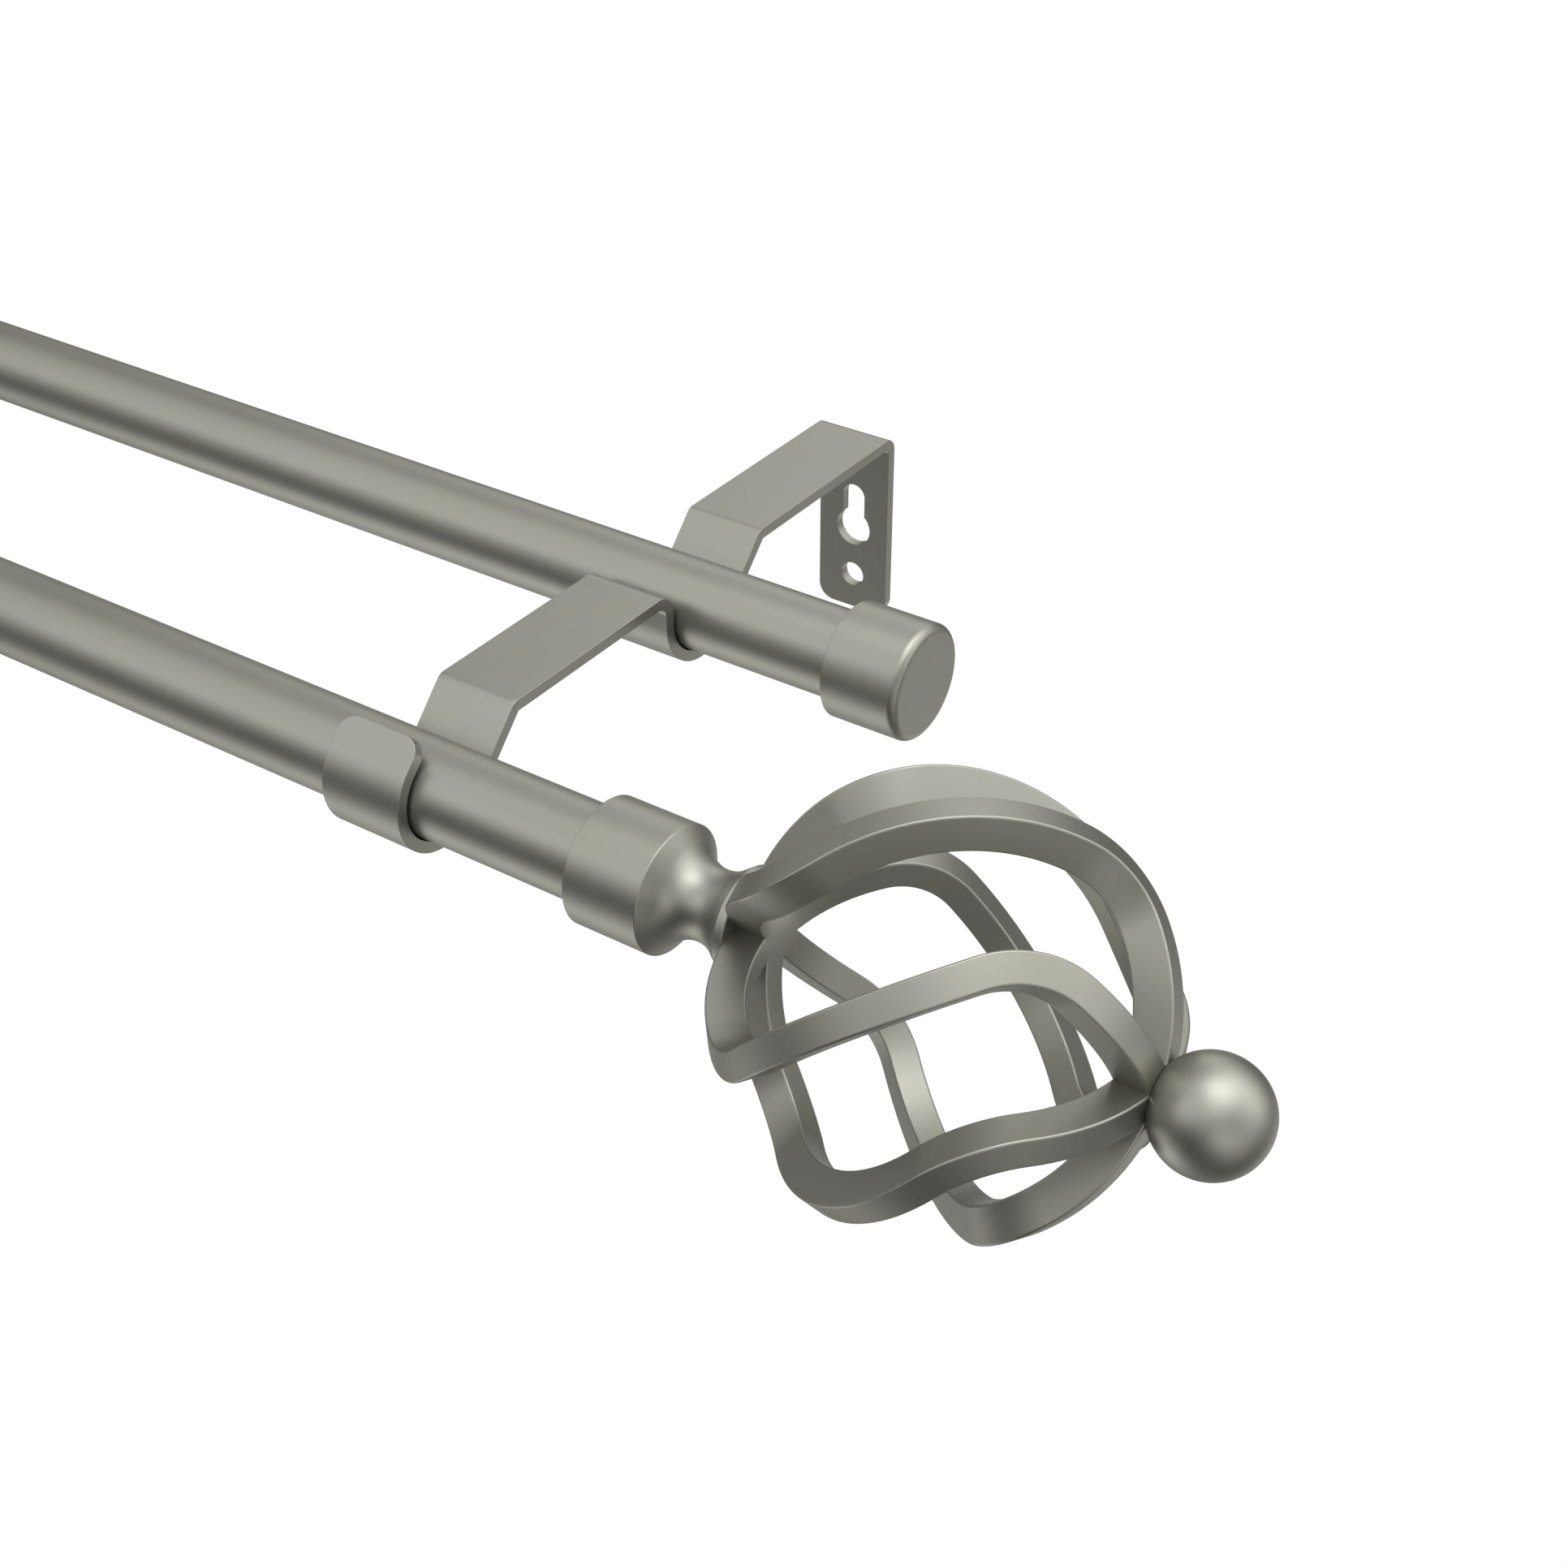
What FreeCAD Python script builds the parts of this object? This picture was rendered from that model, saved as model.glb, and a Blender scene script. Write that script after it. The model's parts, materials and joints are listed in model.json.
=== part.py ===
import FreeCAD, Part
import math
import os
import Sketcher

# Double curtain rod set for a wall. Two bent strip brackets carry a front rod with a twisted cage
# finial at each end, and a back rod with a plain cap at each end.
# X runs along the rods to the right, -Y points into the room and +Z is up.
# The origin is the centre of the lower screw hole of the right bracket, on the wall plane.

# Driving dimensions, in millimetres and degrees
SIZES = {
    # Rods
    "rod_diameter": 19.05,
    "rod_wall": 1.0,
    "rod_length": 610.0,
    "rod_overhang": 59.0,
    "back_rod_distance": 77.05,
    "rod_spacing": 83.35,
    # Brackets
    "strip_width": 18.96,
    "strip_thickness": 2.5,
    "cup_height": 30.5,
    "cup_clearance": 0.545,
    "rod_seat_gap": 0.3,
    "arm_rise": 8.12,
    "slope_angle": 46.0,
    "bend_inner_radius": 1.1,
    "fold_inner_radius": 0.3,
    "curl_inner_radius": 2.4,
    "lip_angle": 45.0,
    "lip_length": 6.5,
    "lip_corner_radius": 3.9,
    "plate_end": 8.92,
    "plate_corner_radius": 4.1,
    "screw_hole_radius": 3.06,
    "keyhole_height": 12.77,
    "keyhole_radius": 4.6,
    "keyslot_height": 21.2,
    "keyslot_width": 6.0,
    # Finial collar, turned in one with its neck and flange
    "collar_radius": 12.5,
    "collar_length": 16.0,
    "collar_insert": 11.1,
    "bore_clearance": 0.05,
    "bore_end_gap": 0.3,
    "edge_break": 0.12,
    "shoulder_break": 0.12,
    "neck_length": 14.95,
    "waist_position": 8.03,
    "waist_radius": 6.9,
    "waist_curve_radius": 7.65,
    "flange_radius": 10.16,
    "flange_thickness": 1.8,
    # Finial cage of square bars that lie on a sphere
    "cage_radius": 36.7,
    "cage_flat": 1.25,
    "bar_count": 6,
    "bar_width": 5.5,
    "bar_depth": 6.85,
    "bar_turn": 71.8,
    "crossing_angle": 39.6,
    "bar_bend_radius": 17.35,
    "bar_start_angle": 5.8,
    # Ball, and the studs that hold the finial together
    "ball_radius": 10.43,
    "ball_sink": 2.1,
    "seat_clearance": 0.05,
    "stud_radius": 2.45,
    "stud_clearance": 0.05,
    "stud_end_gap": 0.3,
    "stud_chamfer": 0.4,
    "neck_stud_depth": 9.0,
    "ball_stud_depth": 8.0,
    "hub_floor": 1.2,
    # Caps of the back rod
    "cap_radius": 12.5,
    "cap_length": 17.6,
    "cap_insert": 11.46,
    "cap_edge_radius": 1.8,
    # Grub screws under the collars and caps
    "grub_radius": 1.95,
    "grub_clearance": 0.05,
    "grub_recess": 0.25,
    "grub_position": 6.0,
    "grub_chamfer": 0.4,
    "grub_socket": 2.0,
    "grub_socket_depth": 1.4,
}

# Tolerances of the tests below: places that count as the same, and the least that a cut takes away
SAME_PLACE = 1e-6
LEAST_CUT = 0.1

doc = FreeCAD.newDocument("curtain_rod")
sheet = doc.addObject("Spreadsheet::Sheet", "Sizes")
for row, (alias, number) in enumerate(SIZES.items(), start=1):
    sheet.set("A%d" % row, alias)
    sheet.set("B%d" % row, str(number))
    sheet.setAlias("B%d" % row, alias)
doc.recompute()

# Sizes worked out from the driving dimensions, as expressions over the sheet
ROD_RADIUS = "(Sizes.rod_diameter / 2)"
ROD_HEIGHT = "(Sizes.cup_height - Sizes.cup_clearance + Sizes.rod_seat_gap)"
RIGHT_END = "Sizes.rod_overhang"
LEFT_END = "(Sizes.rod_overhang - Sizes.rod_length)"
BRACKET_SPACING = "(Sizes.rod_length - 2 * Sizes.rod_overhang)"
CUP_RADIUS = "(Sizes.rod_diameter / 2 + Sizes.cup_clearance)"
ARM_TOP = "(Sizes.cup_height + Sizes.arm_rise)"
BEND_RADIUS = "(Sizes.bend_inner_radius + Sizes.strip_thickness)"
FOLD_RADIUS = "(Sizes.fold_inner_radius + Sizes.strip_thickness)"
CURL_RADIUS = "(Sizes.curl_inner_radius + Sizes.strip_thickness)"
BACK_ROD = "-Sizes.back_rod_distance"
FRONT_ROD = "-(Sizes.back_rod_distance + Sizes.rod_spacing)"

# Places along the finial and the cap, measured outward from the end of the rod
BORE_RADIUS = "(Sizes.rod_diameter / 2 + Sizes.bore_clearance)"
SHOULDER = "(Sizes.collar_length - Sizes.collar_insert)"
FLANGE_BACK = "(" + SHOULDER + " + Sizes.neck_length)"
FLANGE_FACE = "(" + FLANGE_BACK + " + Sizes.flange_thickness)"
CAGE_CENTRE = "(" + FLANGE_FACE + " - Sizes.cage_flat + Sizes.bar_depth / 2 + Sizes.cage_radius)"
CAGE_END = "(" + CAGE_CENTRE + " + Sizes.cage_radius + Sizes.bar_depth / 2)"
BALL_NEAR = "(" + CAGE_END + " - Sizes.ball_sink)"
BALL_CENTRE = "(" + BALL_NEAR + " + Sizes.ball_radius)"
STUD_HOLE = "(Sizes.stud_radius + Sizes.stud_clearance)"
NECK_HOLE_END = "(" + FLANGE_FACE + " - Sizes.neck_stud_depth)"
HUB_HOLE_END = "(" + FLANGE_FACE + " - Sizes.cage_flat + Sizes.bar_depth - Sizes.hub_floor)"
FAR_HUB_HOLE_END = "(" + CAGE_END + " - Sizes.bar_depth + Sizes.hub_floor)"
BALL_HOLE_END = "(" + BALL_NEAR + " + Sizes.ball_stud_depth)"
CAP_FACE = "(Sizes.cap_length - Sizes.cap_insert)"


def value(expression):
    """Number that an expression over the sheet gives now."""
    return float(sheet.evalExpression(expression))


def new_sketch(body, plane, name):
    """Sketch on one of the body's own origin planes."""
    sketch = body.newObject("Sketcher::SketchObject", name)
    support = [feature for feature in body.Origin.OriginFeatures if feature.Role == plane][0]
    sketch.AttachmentSupport = (support, [""])
    sketch.MapMode = "FlatFace"
    return sketch


def dimension(sketch, kind, name, places, expression):
    """Named dimension bound to the sheet; places are the geometry and point numbers."""
    number = value(expression)
    if kind == "Angle":
        number = math.radians(number)
    index = sketch.addConstraint(Sketcher.Constraint(kind, *places, number))
    sketch.renameConstraint(index, name)
    sketch.setExpression("Constraints." + name, expression)


def add_line(sketch, start, end):
    return sketch.addGeometry(Part.LineSegment(FreeCAD.Vector(*start, 0), FreeCAD.Vector(*end, 0)))


def add_arc(sketch, centre, radius, first, last):
    """Arc from the first to the last angle in degrees, counterclockwise."""
    circle = Part.Circle(FreeCAD.Vector(*centre, 0), FreeCAD.Vector(0, 0, 1), radius)
    return sketch.addGeometry(Part.ArcOfCircle(circle, math.radians(first), math.radians(last)))


def along(point, angle, distance):
    return (point[0] + distance * math.cos(math.radians(angle)),
            point[1] + distance * math.sin(math.radians(angle)))


def bracket_path(body):
    """Outer side of the bent strip, from the plate's lower end to the lip; also returns the lip's end."""
    path = new_sketch(body, "YZ_Plane", "path")
    top = value(ARM_TOP)
    cup = value(CUP_RADIUS)
    fold = value(FOLD_RADIUS)
    bend = value(BEND_RADIUS)
    curl = value(CURL_RADIUS)
    slope = value("Sizes.slope_angle")
    height = value("Sizes.cup_height")
    lip = value("Sizes.lip_angle")
    back = value(BACK_ROD)
    front = value(FRONT_ROD)

    def arm(start, centre_y, wrap_end):
        """Arm, fold, slope and cup, from the arm's start to the wrap's end angle."""
        touch = along((centre_y, height), slope - 90, cup)
        rise = top - fold + fold * math.cos(math.radians(slope)) - touch[1]
        slope_top = along(touch, slope, rise / math.sin(math.radians(slope)))
        fold_centre = along(slope_top, slope - 90, fold)
        arm_line = add_line(path, start, (fold_centre[0], top))
        fold_arc = add_arc(path, fold_centre, fold, 90, 90 + slope)
        slope_line = add_line(path, slope_top, touch)
        cup_arc = add_arc(path, (centre_y, height), cup, wrap_end, 270 + slope)
        return arm_line, fold_arc, slope_line, cup_arc

    plate = add_line(path, (0, -value("Sizes.plate_end")), (0, top - bend))
    bend_arc = add_arc(path, (-bend, top - bend), bend, 0, 90)
    arm_one, fold_one, slope_one, cup_one = arm((-bend, top), back, 180)
    wall = add_line(path, (back - cup, height), (back - cup, top - curl))
    curl_arc = add_arc(path, (back - cup - curl, top - curl), curl, 0, 90)
    arm_two, fold_two, slope_two, cup_two = arm((back - cup - curl, top), front, 180 - lip)
    lip_start = along((front, height), 180 - lip, cup)
    lip_end = along(lip_start, 90 - lip, value("Sizes.lip_length"))
    lip_line = add_line(path, lip_start, lip_end)

    # Ends that meet: 1 is a start and 2 is an end, and the cup arcs run against the path
    meetings = [(plate, 2, bend_arc, 1), (bend_arc, 2, arm_one, 1), (arm_one, 2, fold_one, 1),
                (fold_one, 2, slope_one, 1), (slope_one, 2, cup_one, 2), (cup_one, 1, wall, 1),
                (wall, 2, curl_arc, 1), (curl_arc, 2, arm_two, 1), (arm_two, 2, fold_two, 1),
                (fold_two, 2, slope_two, 1), (slope_two, 2, cup_two, 2), (cup_two, 1, lip_line, 1)]
    for meeting in meetings:
        path.addConstraint(Sketcher.Constraint("Tangent", *meeting))
    path.addConstraint(Sketcher.Constraint("PointOnObject", plate, 1, -2))
    path.addConstraint(Sketcher.Constraint("Vertical", plate))
    path.addConstraint(Sketcher.Constraint("Vertical", wall))
    path.addConstraint(Sketcher.Constraint("Horizontal", arm_one))
    path.addConstraint(Sketcher.Constraint("Horizontal", arm_two))
    dimension(path, "DistanceY", "plate_end", (-1, 1, plate, 1), "-Sizes.plate_end")
    dimension(path, "Radius", "bend", (bend_arc,), BEND_RADIUS)
    dimension(path, "Radius", "curl", (curl_arc,), CURL_RADIUS)
    cups = (("back", arm_one, fold_one, slope_one, cup_one, BACK_ROD),
            ("front", arm_two, fold_two, slope_two, cup_two, FRONT_ROD))
    for name, arm_line, fold_arc, slope_line, cup_arc, centre_y in cups:
        dimension(path, "DistanceY", name + "_arm_top", (-1, 1, arm_line, 1), ARM_TOP)
        dimension(path, "Radius", name + "_fold", (fold_arc,), FOLD_RADIUS)
        dimension(path, "Angle", name + "_slope", (slope_line,), "Sizes.slope_angle - 180")
        dimension(path, "Radius", name + "_cup", (cup_arc,), CUP_RADIUS)
        dimension(path, "DistanceX", name + "_cup_y", (-1, 1, cup_arc, 3), centre_y)
        dimension(path, "DistanceY", name + "_cup_z", (-1, 1, cup_arc, 3), "Sizes.cup_height")
    dimension(path, "Angle", "lip_angle", (lip_line,), "90 - Sizes.lip_angle")
    dimension(path, "Distance", "lip_length", (lip_line, 1, lip_line, 2), "Sizes.lip_length")
    return path, lip_end


def join(sketch, chain):
    """Closes a chain of geometry; each link is its number with its first and last point."""
    for this, following in zip(chain, chain[1:] + chain[:1]):
        link = Sketcher.Constraint("Coincident", this[0], this[2], following[0], following[1])
        sketch.addConstraint(link)


def pin(sketch, name, geometry, point, place):
    """Fixes a point by a pair of expressions; "0" puts it on the axis."""
    across = ("DistanceX", -2, "x", place[0])
    up = ("DistanceY", -1, "y", place[1])
    for kind, axis, letter, expression in (across, up):
        if expression == "0":
            sketch.addConstraint(Sketcher.Constraint("PointOnObject", geometry, point, axis))
        else:
            dimension(sketch, kind, name + "_" + letter, (-1, 1, geometry, point), expression)


def outline(sketch, corners):
    """Closed straight outline through corners given as pairs of expressions."""
    points = [(value(x), value(y)) for x, y in corners]
    lines = [add_line(sketch, start, end) for start, end in zip(points, points[1:] + points[:1])]
    join(sketch, [(line, 1, 2) for line in lines])
    for number, (line, corner) in enumerate(zip(lines, corners), start=1):
        pin(sketch, "corner%d" % number, line, 1, corner)


def revolve(body, profile):
    turned = body.newObject("PartDesign::Revolution", "turned")
    turned.Profile = profile
    turned.ReferenceAxis = (profile, ["H_Axis"])
    turned.Angle = 360
    doc.recompute()
    return turned


def edges(shape, test):
    return ["Edge%d" % number for number, edge in enumerate(shape.Edges, start=1) if test(edge)]


def ring(shape, x, radius):
    """The round edge of that radius about the X axis at that place along it."""
    def test(edge):
        curve = edge.Curve
        return (isinstance(curve, Part.Circle) and abs(curve.Radius - value(radius)) < SAME_PLACE
                and abs(curve.Center.x - value(x)) < SAME_PLACE and abs(curve.Axis.x) > 1 - SAME_PLACE)
    return edges(shape, test)


def dress(body, kind, name, base, edge_names, size_name, expression):
    """Fillet or chamfer on the named edges of the feature below it."""
    feature = body.newObject("PartDesign::" + kind, name)
    feature.Base = (base, edge_names)
    feature.setExpression(size_name, expression)
    doc.recompute()
    return feature


def place(piece, x, y, z, half_turn=False):
    if half_turn:
        turn = FreeCAD.Rotation(FreeCAD.Vector(0, 0, 1), 180)
        piece.Placement = FreeCAD.Placement(FreeCAD.Vector(), turn)
    for axis, expression in (("x", x), ("y", y), ("z", z)):
        piece.setExpression("Placement.Base." + axis, expression)


def new_body(name):
    body = doc.addObject("PartDesign::Body", name)
    body.Label = name
    return body


def offset_sketch(sketch, expression):
    """Moves a sketch off its plane, along the plane's normal."""
    sketch.setExpression("AttachmentOffset.Base.z", expression)
    doc.recompute()


def pad(body, profile, name, expression):
    feature = body.newObject("PartDesign::Pad", name)
    feature.Profile = profile
    feature.setExpression("Length", expression)
    doc.recompute()
    return feature


def pocket(body, profile, name, expression=None, reverse=False):
    """Cut of that depth, or through all when no depth is given."""
    before = body.Tip.Shape.Volume
    feature = body.newObject("PartDesign::Pocket", name)
    feature.Profile = profile
    feature.Reversed = reverse
    if expression:
        feature.setExpression("Length", expression)
    else:
        feature.Type = "ThroughAll"
    doc.recompute()
    if feature.Shape.Volume > before - LEAST_CUT:
        raise RuntimeError(name + " cuts nothing")
    return feature


def disc(sketch, name, centre, radius):
    """Circle about a point given as a pair of expressions."""
    middle = FreeCAD.Vector(value(centre[0]), value(centre[1]), 0)
    number = sketch.addGeometry(Part.Circle(middle, FreeCAD.Vector(0, 0, 1), value(radius)))
    pin(sketch, name, number, 3, centre)
    dimension(sketch, "Radius", name + "_radius", (number,), radius)
    return number


def make_rod(name, y):
    """Tube along X at that distance from the wall."""
    body = new_body(name)
    section = new_sketch(body, "YZ_Plane", "section")
    disc(section, "outside", ("0", "0"), ROD_RADIUS)
    disc(section, "inside", ("0", "0"), ROD_RADIUS + " - Sizes.rod_wall")
    pad(body, section, "tube", "Sizes.rod_length")
    place(body, LEFT_END, y, ROD_HEIGHT)
    return body


def keyhole(body):
    """Round hole that a screw head passes, with a slot above it that the screw hangs in."""
    sketch = new_sketch(body, "XZ_Plane", "keyhole")
    radius = value("Sizes.keyhole_radius")
    half = value("Sizes.keyslot_width / 2")
    low = value("Sizes.keyhole_height")
    high = value("Sizes.keyslot_height")
    corner = math.degrees(math.acos(half / radius))
    corner_height = low + radius * math.sin(math.radians(corner))
    head = add_arc(sketch, (0, low), radius, 180 - corner, 360 + corner)
    right = add_line(sketch, (half, corner_height), (half, high))
    top = add_arc(sketch, (0, high), half, 0, 180)
    left = add_line(sketch, (-half, high), (-half, corner_height))
    sketch.addConstraint(Sketcher.Constraint("Coincident", head, 2, right, 1))
    sketch.addConstraint(Sketcher.Constraint("Tangent", right, 2, top, 1))
    sketch.addConstraint(Sketcher.Constraint("Tangent", top, 2, left, 1))
    sketch.addConstraint(Sketcher.Constraint("Coincident", left, 2, head, 1))
    sketch.addConstraint(Sketcher.Constraint("Vertical", right))
    sketch.addConstraint(Sketcher.Constraint("Vertical", left))
    pin(sketch, "head", head, 3, ("0", "Sizes.keyhole_height"))
    pin(sketch, "top", top, 3, ("0", "Sizes.keyslot_height"))
    dimension(sketch, "Radius", "head_radius", (head,), "Sizes.keyhole_radius")
    dimension(sketch, "Radius", "slot_radius", (top,), "Sizes.keyslot_width / 2")
    return sketch


def make_bracket(name, x):
    """Strip bent along its path, with a screw hole and a keyhole in the plate on the wall."""
    body = new_body(name)
    path, lip_end = bracket_path(body)
    section = new_sketch(body, "XY_Plane", "section")
    offset_sketch(section, "-Sizes.plate_end")
    outline(section, [("-Sizes.strip_width / 2", "-Sizes.strip_thickness"),
                      ("Sizes.strip_width / 2", "-Sizes.strip_thickness"),
                      ("Sizes.strip_width / 2", "0"),
                      ("-Sizes.strip_width / 2", "0")])
    strip = body.newObject("PartDesign::AdditivePipe", "strip")
    strip.Profile = section
    strip.Spine = path
    doc.recompute()

    half_width = value("Sizes.strip_width / 2")
    lowest = -value("Sizes.plate_end")
    thickness = value("Sizes.strip_thickness")

    def corner_edges(shape, y, z):
        """Edges through the strip's thickness at the end near that place."""
        def test(edge):
            middle = edge.CenterOfMass
            return (edge.Length < thickness + SAME_PLACE and abs(abs(middle.x) - half_width) < SAME_PLACE
                    and math.hypot(middle.y - y, middle.z - z) < thickness)
        return edges(shape, test)

    corners = dress(body, "Fillet", "plate_corners", strip, corner_edges(strip.Shape, 0, lowest),
                    "Radius", "Sizes.plate_corner_radius")
    dress(body, "Fillet", "lip_corners", corners, corner_edges(corners.Shape, *lip_end),
          "Radius", "Sizes.lip_corner_radius")
    pocket(body, keyhole(body), "keyhole_cut", "2 * Sizes.strip_thickness", True)
    screw_hole = new_sketch(body, "XZ_Plane", "screw_hole")
    disc(screw_hole, "hole", ("0", "0"), "Sizes.screw_hole_radius")
    pocket(body, screw_hole, "screw_hole_cut", "2 * Sizes.strip_thickness", True)
    place(body, x, "0", "0")
    return body


def touch_angle(point, centre, radius, side):
    """Angle on a circle where the tangent from an outer point touches it."""
    distance = math.dist(point, centre)
    direction = math.atan2(point[1] - centre[1], point[0] - centre[0])
    return math.degrees(direction + side * math.acos(radius / distance))


def collar_profile(body):
    """Half section of the collar: bore, rim, shoulder, hollow neck curve, flange and stud hole."""
    sketch = new_sketch(body, "XY_Plane", "profile")
    corners = [("Sizes.bore_end_gap", "0"), (NECK_HOLE_END, "0"), (NECK_HOLE_END, STUD_HOLE),
               (FLANGE_FACE, STUD_HOLE), (FLANGE_FACE, "Sizes.flange_radius"),
               (FLANGE_BACK, "Sizes.flange_radius"), (SHOULDER, "Sizes.collar_radius"),
               ("-Sizes.collar_insert", "Sizes.collar_radius"), ("-Sizes.collar_insert", BORE_RADIUS),
               ("Sizes.bore_end_gap", BORE_RADIUS)]
    points = [(value(x), value(y)) for x, y in corners]
    waist_x = SHOULDER + " + Sizes.waist_position"
    waist_y = "Sizes.waist_radius + Sizes.waist_curve_radius"
    centre = (value(waist_x), value(waist_y))
    radius = value("Sizes.waist_curve_radius")
    flange_touch = touch_angle(points[5], centre, radius, -1)
    shoulder_touch = touch_angle(points[6], centre, radius, 1)

    lines = [add_line(sketch, points[n], points[n + 1]) for n in range(5)]
    lines.append(add_line(sketch, points[5], along(centre, flange_touch, radius)))
    waist = add_arc(sketch, centre, radius, shoulder_touch, flange_touch)
    lines.append(add_line(sketch, along(centre, shoulder_touch, radius), points[6]))
    lines += [add_line(sketch, points[n], points[(n + 1) % 10]) for n in range(6, 10)]
    for this, following in zip(lines, lines[1:] + lines[:1]):
        if this == lines[5]:
            sketch.addConstraint(Sketcher.Constraint("Tangent", this, 2, waist, 2))
            sketch.addConstraint(Sketcher.Constraint("Tangent", waist, 1, following, 1))
        else:
            sketch.addConstraint(Sketcher.Constraint("Coincident", this, 2, following, 1))
    starts = lines[:6] + lines[7:]
    for number, (line, corner) in enumerate(zip(starts, corners), start=1):
        pin(sketch, "corner%d" % number, line, 1, corner)
    pin(sketch, "waist", waist, 3, (waist_x, waist_y))
    dimension(sketch, "Radius", "waist_curve", (waist,), "Sizes.waist_curve_radius")
    return sketch


def grub_hole(body, insert):
    """Cross hole for the grub screw, from the bore out through the underside."""
    sketch = new_sketch(body, "XY_Plane", "grub_hole")
    disc(sketch, "hole", ("Sizes.grub_position - " + insert, "0"),
         "Sizes.grub_radius + Sizes.grub_clearance")
    pocket(body, sketch, "grub_hole_cut")


def make_collar(name):
    """Collar that slips over the rod, with its neck and flange, its rims broken."""
    body = new_body(name)
    turned = revolve(body, collar_profile(body))
    shape = turned.Shape
    rims = ring(shape, "-Sizes.collar_insert", "Sizes.collar_radius")
    rims += ring(shape, FLANGE_BACK, "Sizes.flange_radius")
    rims += ring(shape, FLANGE_FACE, "Sizes.flange_radius")
    broken = dress(body, "Chamfer", "rims", turned, rims, "Size", "Sizes.edge_break")
    shoulder = ring(broken.Shape, SHOULDER, "Sizes.collar_radius")
    dress(body, "Chamfer", "shoulder", broken, shoulder, "Size", "Sizes.shoulder_break")
    grub_hole(body, "Sizes.collar_insert")
    return body


def make_cap(name):
    """Closed cap that slips over the end of the back rod."""
    body = new_body(name)
    profile = new_sketch(body, "XY_Plane", "profile")
    outline(profile, [("Sizes.bore_end_gap", "0"), (CAP_FACE, "0"), (CAP_FACE, "Sizes.cap_radius"),
                      ("-Sizes.cap_insert", "Sizes.cap_radius"), ("-Sizes.cap_insert", BORE_RADIUS),
                      ("Sizes.bore_end_gap", BORE_RADIUS)])
    turned = revolve(body, profile)
    face_edge = ring(turned.Shape, CAP_FACE, "Sizes.cap_radius")
    rounded = dress(body, "Fillet", "face_edge", turned, face_edge, "Radius", "Sizes.cap_edge_radius")
    rim = ring(rounded.Shape, "-Sizes.cap_insert", "Sizes.cap_radius")
    dress(body, "Chamfer", "rim", rounded, rim, "Size", "Sizes.edge_break")
    grub_hole(body, "Sizes.cap_insert")
    return body


def make_ball(name):
    """Ball at the finial's tip, with a blind hole for its stud."""
    body = new_body(name)
    sketch = new_sketch(body, "XY_Plane", "profile")
    centre = (value(BALL_CENTRE), 0)
    radius = value("Sizes.ball_radius")
    hole = value(STUD_HOLE)
    hole_end = value(BALL_HOLE_END)
    mouth = 180 - math.degrees(math.asin(hole / radius))
    skin = add_arc(sketch, centre, radius, 0, mouth)
    side = add_line(sketch, along(centre, mouth, radius), (hole_end, hole))
    floor = add_line(sketch, (hole_end, hole), (hole_end, 0))
    axis = add_line(sketch, (hole_end, 0), (centre[0] + radius, 0))
    join(sketch, [(skin, 1, 2), (side, 1, 2), (floor, 1, 2), (axis, 1, 2)])
    pin(sketch, "centre", skin, 3, (BALL_CENTRE, "0"))
    dimension(sketch, "Radius", "skin", (skin,), "Sizes.ball_radius")
    sketch.addConstraint(Sketcher.Constraint("PointOnObject", skin, 1, -1))
    sketch.addConstraint(Sketcher.Constraint("Horizontal", side))
    pin(sketch, "hole_corner", floor, 1, (BALL_HOLE_END, STUD_HOLE))
    sketch.addConstraint(Sketcher.Constraint("Vertical", floor))
    sketch.addConstraint(Sketcher.Constraint("PointOnObject", floor, 2, -1))
    revolve(body, sketch)
    return body


def make_stud(name, first_hole_end, last_hole_end):
    """Stud that fills two facing blind holes but for a gap at each end."""
    body = new_body(name)
    section = new_sketch(body, "YZ_Plane", "section")
    start = first_hole_end + " + Sizes.stud_end_gap"
    offset_sketch(section, start)
    disc(section, "stud", ("0", "0"), "Sizes.stud_radius")
    length = last_hole_end + " - Sizes.stud_end_gap - (" + start + ")"
    bar = pad(body, section, "bar", length)
    ends = edges(bar.Shape, lambda edge: isinstance(edge.Curve, Part.Circle))
    dress(body, "Chamfer", "ends", bar, ends, "Size", "Sizes.stud_chamfer")
    return body


def make_grub(name, insert, outer_radius):
    """Headless screw that bears on the rod from below, with a hexagon socket."""
    body = new_body(name)
    centre_x = "Sizes.grub_position - " + insert
    drop = "-(" + outer_radius + " - Sizes.grub_recess)"
    section = new_sketch(body, "XY_Plane", "section")
    offset_sketch(section, drop)
    disc(section, "screw", (centre_x, "0"), "Sizes.grub_radius")
    bar = pad(body, section, "bar", outer_radius + " - Sizes.grub_recess - " + BORE_RADIUS)
    tip_height = -value(BORE_RADIUS)
    tip = edges(bar.Shape, lambda edge: isinstance(edge.Curve, Part.Circle)
                and abs(edge.Curve.Center.z - tip_height) < 1e-6)
    dress(body, "Chamfer", "tip", bar, tip, "Size", "Sizes.grub_chamfer")

    socket = new_sketch(body, "XY_Plane", "socket")
    offset_sketch(socket, drop)
    across = "Sizes.grub_socket / sqrt(3)"
    centre = (value(centre_x), 0)
    corners = [along(centre, 60 * n, value(across)) for n in range(6)]
    sides = [add_line(socket, start, end) for start, end in zip(corners, corners[1:] + corners[:1])]
    join(socket, [(side, 1, 2) for side in sides])
    guide = disc(socket, "guide", (centre_x, "0"), across)
    socket.toggleConstruction(guide)
    for side in sides:
        socket.addConstraint(Sketcher.Constraint("PointOnObject", side, 1, guide))
    for side in sides[1:]:
        socket.addConstraint(Sketcher.Constraint("Equal", sides[0], side))
    socket.addConstraint(Sketcher.Constraint("PointOnObject", sides[0], 1, -1))
    pocket(body, socket, "socket_cut", "Sizes.grub_socket_depth", True)
    return body


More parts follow.
